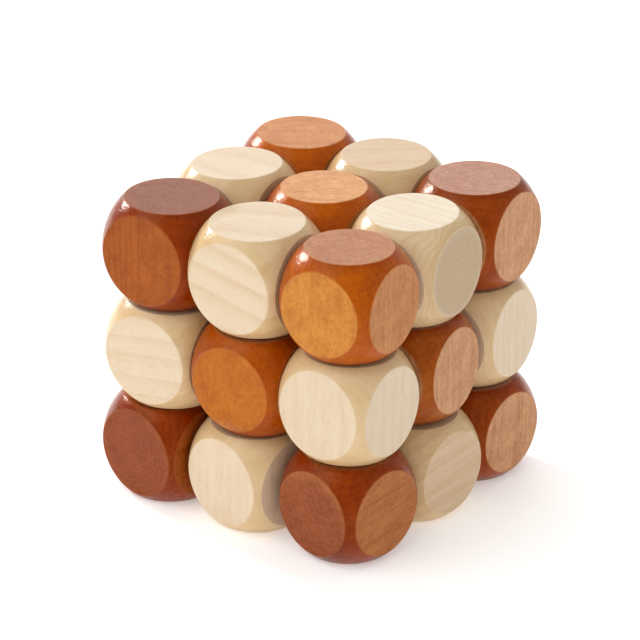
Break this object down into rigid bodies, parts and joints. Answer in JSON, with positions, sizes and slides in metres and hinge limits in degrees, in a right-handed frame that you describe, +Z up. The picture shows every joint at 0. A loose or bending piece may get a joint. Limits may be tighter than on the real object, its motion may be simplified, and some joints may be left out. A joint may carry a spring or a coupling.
{
  "type": "folding cube puzzle",
  "caption": "Rounded wooden cubelets, dark and pale by turns, threaded on one elastic cord and folded into a cube.",
  "frame": {"origin": "middle of the folded cube's footprint, on the surface that it stands on", "axes": "+Z up, -Y towards the front face, +X to the right; rows of cubelets lie along X"},
  "size_m": [0.059, 0.0572, 0.0556],
  "materials": {
    "stained_wood": "reddish brown stain under clear satin lacquer",
    "pale_wood": "natural pale wood under clear satin lacquer",
    "elastic_cord": "braided cover over a rubber core",
    "dowel_wood": "bare, glued in"
  },
  "bodies": {
    "cubelet_01": {"cubelet_01_end": "stained_wood", "cord_run_01": "elastic_cord", "cord_knot_start": "elastic_cord", "plug_start": "dowel_wood"},
    "cubelet_02": {"cubelet_02_straight": "pale_wood"},
    "cubelet_03": {"cubelet_03_corner": "stained_wood", "cord_run_02": "elastic_cord"},
    "cubelet_04": {"cubelet_04_corner": "pale_wood", "cord_run_03": "elastic_cord"},
    "cubelet_05": {"cubelet_05_straight": "stained_wood"},
    "cubelet_06": {"cubelet_06_corner": "pale_wood", "cord_run_04": "elastic_cord"},
    "cubelet_07": {"cubelet_07_corner": "stained_wood", "cord_run_05": "elastic_cord"},
    "cubelet_08": {"cubelet_08_straight": "pale_wood"},
    "cubelet_09": {"cubelet_09_corner": "stained_wood", "cord_run_06": "elastic_cord"},
    "cubelet_10": {"cubelet_10_corner": "pale_wood", "cord_run_07": "elastic_cord"},
    "cubelet_11": {"cubelet_11_straight": "stained_wood"},
    "cubelet_12": {"cubelet_12_corner": "pale_wood", "cord_run_08": "elastic_cord"},
    "cubelet_13": {"cubelet_13_corner": "stained_wood", "cord_run_09": "elastic_cord"},
    "cubelet_14": {"cubelet_14_straight": "pale_wood"},
    "cubelet_15": {"cubelet_15_corner": "stained_wood", "cord_run_10": "elastic_cord"},
    "cubelet_16": {"cubelet_16_corner": "pale_wood", "cord_run_11": "elastic_cord"},
    "cubelet_17": {"cubelet_17_straight": "stained_wood"},
    "cubelet_18": {"cubelet_18_corner": "pale_wood", "cord_run_12": "elastic_cord"},
    "cubelet_19": {"cubelet_19_corner": "stained_wood", "cord_run_13": "elastic_cord"},
    "cubelet_20": {"cubelet_20_straight": "pale_wood"},
    "cubelet_21": {"cubelet_21_corner": "stained_wood", "cord_run_14": "elastic_cord"},
    "cubelet_22": {"cubelet_22_corner": "pale_wood", "cord_run_15": "elastic_cord"},
    "cubelet_23": {"cubelet_23_straight": "stained_wood"},
    "cubelet_24": {"cubelet_24_corner": "pale_wood", "cord_run_16": "elastic_cord"},
    "cubelet_25": {"cubelet_25_corner": "stained_wood", "cord_run_17": "elastic_cord"},
    "cubelet_26": {"cubelet_26_straight": "pale_wood"},
    "cubelet_27": {"cubelet_27_end": "stained_wood", "cord_knot_finish": "elastic_cord", "plug_finish": "dowel_wood"}
  },
  "joints": [
    {"name": "turn_02", "type": "hinge", "parent": "cubelet_01", "child": "cubelet_02", "pos_m": [0, -0.0187, 0.009], "axis": [1, 0, 0], "range_deg": [-2, 3.5]},
    {"name": "stretch_03", "type": "slide", "parent": "cubelet_01", "child": "cubelet_03", "axis": [1, 0, 0], "range_m": [0, 0.0025], "stiffness_N_per_m": 400},
    {"name": "stretch_04", "type": "slide", "parent": "cubelet_03", "child": "cubelet_04", "axis": [0, 1, 0], "range_m": [0, 0.0025], "stiffness_N_per_m": 400},
    {"name": "turn_05", "type": "hinge", "parent": "cubelet_04", "child": "cubelet_05", "pos_m": [0, 0, 0.009], "axis": [1, 0, 0], "range_deg": [-2, 3.5]},
    {"name": "stretch_06", "type": "slide", "parent": "cubelet_04", "child": "cubelet_06", "axis": [-1, 0, 0], "range_m": [0, 0.0025], "stiffness_N_per_m": 400},
    {"name": "stretch_07", "type": "slide", "parent": "cubelet_06", "child": "cubelet_07", "axis": [0, 1, 0], "range_m": [0, 0.0025], "stiffness_N_per_m": 400},
    {"name": "turn_08", "type": "hinge", "parent": "cubelet_07", "child": "cubelet_08", "pos_m": [0, 0.0187, 0.009], "axis": [1, 0, 0], "range_deg": [-2, 3.5]},
    {"name": "stretch_09", "type": "slide", "parent": "cubelet_07", "child": "cubelet_09", "axis": [1, 0, 0], "range_m": [0, 0.0025], "stiffness_N_per_m": 400},
    {"name": "swing_10", "type": "hinge", "parent": "cubelet_09", "child": "cubelet_10", "pos_m": [0.0187, 0.0187, 0.02765], "axis": [0, 0, 1], "continuous": true},
    {"name": "turn_11", "type": "hinge", "parent": "cubelet_10", "child": "cubelet_11", "pos_m": [0, 0.0187, 0.02765], "axis": [1, 0, 0], "range_deg": [-2, 3.5]},
    {"name": "stretch_12", "type": "slide", "parent": "cubelet_10", "child": "cubelet_12", "axis": [-1, 0, 0], "range_m": [0, 0.0025], "stiffness_N_per_m": 400},
    {"name": "stretch_13", "type": "slide", "parent": "cubelet_12", "child": "cubelet_13", "axis": [0, -1, 0], "range_m": [0, 0.0025], "stiffness_N_per_m": 400},
    {"name": "turn_14", "type": "hinge", "parent": "cubelet_13", "child": "cubelet_14", "pos_m": [0, 0, 0.02765], "axis": [1, 0, 0], "range_deg": [-2, 3.5]},
    {"name": "stretch_15", "type": "slide", "parent": "cubelet_13", "child": "cubelet_15", "axis": [1, 0, 0], "range_m": [0, 0.0025], "stiffness_N_per_m": 400},
    {"name": "stretch_16", "type": "slide", "parent": "cubelet_15", "child": "cubelet_16", "axis": [0, -1, 0], "range_m": [0, 0.0025], "stiffness_N_per_m": 400},
    {"name": "turn_17", "type": "hinge", "parent": "cubelet_16", "child": "cubelet_17", "pos_m": [0, -0.0187, 0.02765], "axis": [1, 0, 0], "range_deg": [-4, 1.5]},
    {"name": "stretch_18", "type": "slide", "parent": "cubelet_16", "child": "cubelet_18", "axis": [-1, 0, 0], "range_m": [0, 0.0025], "stiffness_N_per_m": 400},
    {"name": "swing_19", "type": "hinge", "parent": "cubelet_18", "child": "cubelet_19", "pos_m": [-0.0187, -0.0187, 0.0463], "axis": [0, 0, 1], "continuous": true},
    {"name": "turn_20", "type": "hinge", "parent": "cubelet_19", "child": "cubelet_20", "pos_m": [0, -0.0187, 0.0463], "axis": [1, 0, 0], "range_deg": [-4, 1.5]},
    {"name": "stretch_21", "type": "slide", "parent": "cubelet_19", "child": "cubelet_21", "axis": [1, 0, 0], "range_m": [0, 0.0025], "stiffness_N_per_m": 400},
    {"name": "stretch_22", "type": "slide", "parent": "cubelet_21", "child": "cubelet_22", "axis": [0, 1, 0], "range_m": [0, 0.0025], "stiffness_N_per_m": 400},
    {"name": "turn_23", "type": "hinge", "parent": "cubelet_22", "child": "cubelet_23", "pos_m": [0, 0, 0.0463], "axis": [1, 0, 0], "range_deg": [-2, 3.5]},
    {"name": "stretch_24", "type": "slide", "parent": "cubelet_22", "child": "cubelet_24", "axis": [-1, 0, 0], "range_m": [0, 0.0025], "stiffness_N_per_m": 400},
    {"name": "stretch_25", "type": "slide", "parent": "cubelet_24", "child": "cubelet_25", "axis": [0, 1, 0], "range_m": [0, 0.0025], "stiffness_N_per_m": 400},
    {"name": "turn_26", "type": "hinge", "parent": "cubelet_25", "child": "cubelet_26", "pos_m": [0, 0.0187, 0.0463], "axis": [1, 0, 0], "range_deg": [-2, 3.5]},
    {"name": "stretch_27", "type": "slide", "parent": "cubelet_25", "child": "cubelet_27", "axis": [1, 0, 0], "range_m": [0, 0.0025], "stiffness_N_per_m": 400}
  ]
}
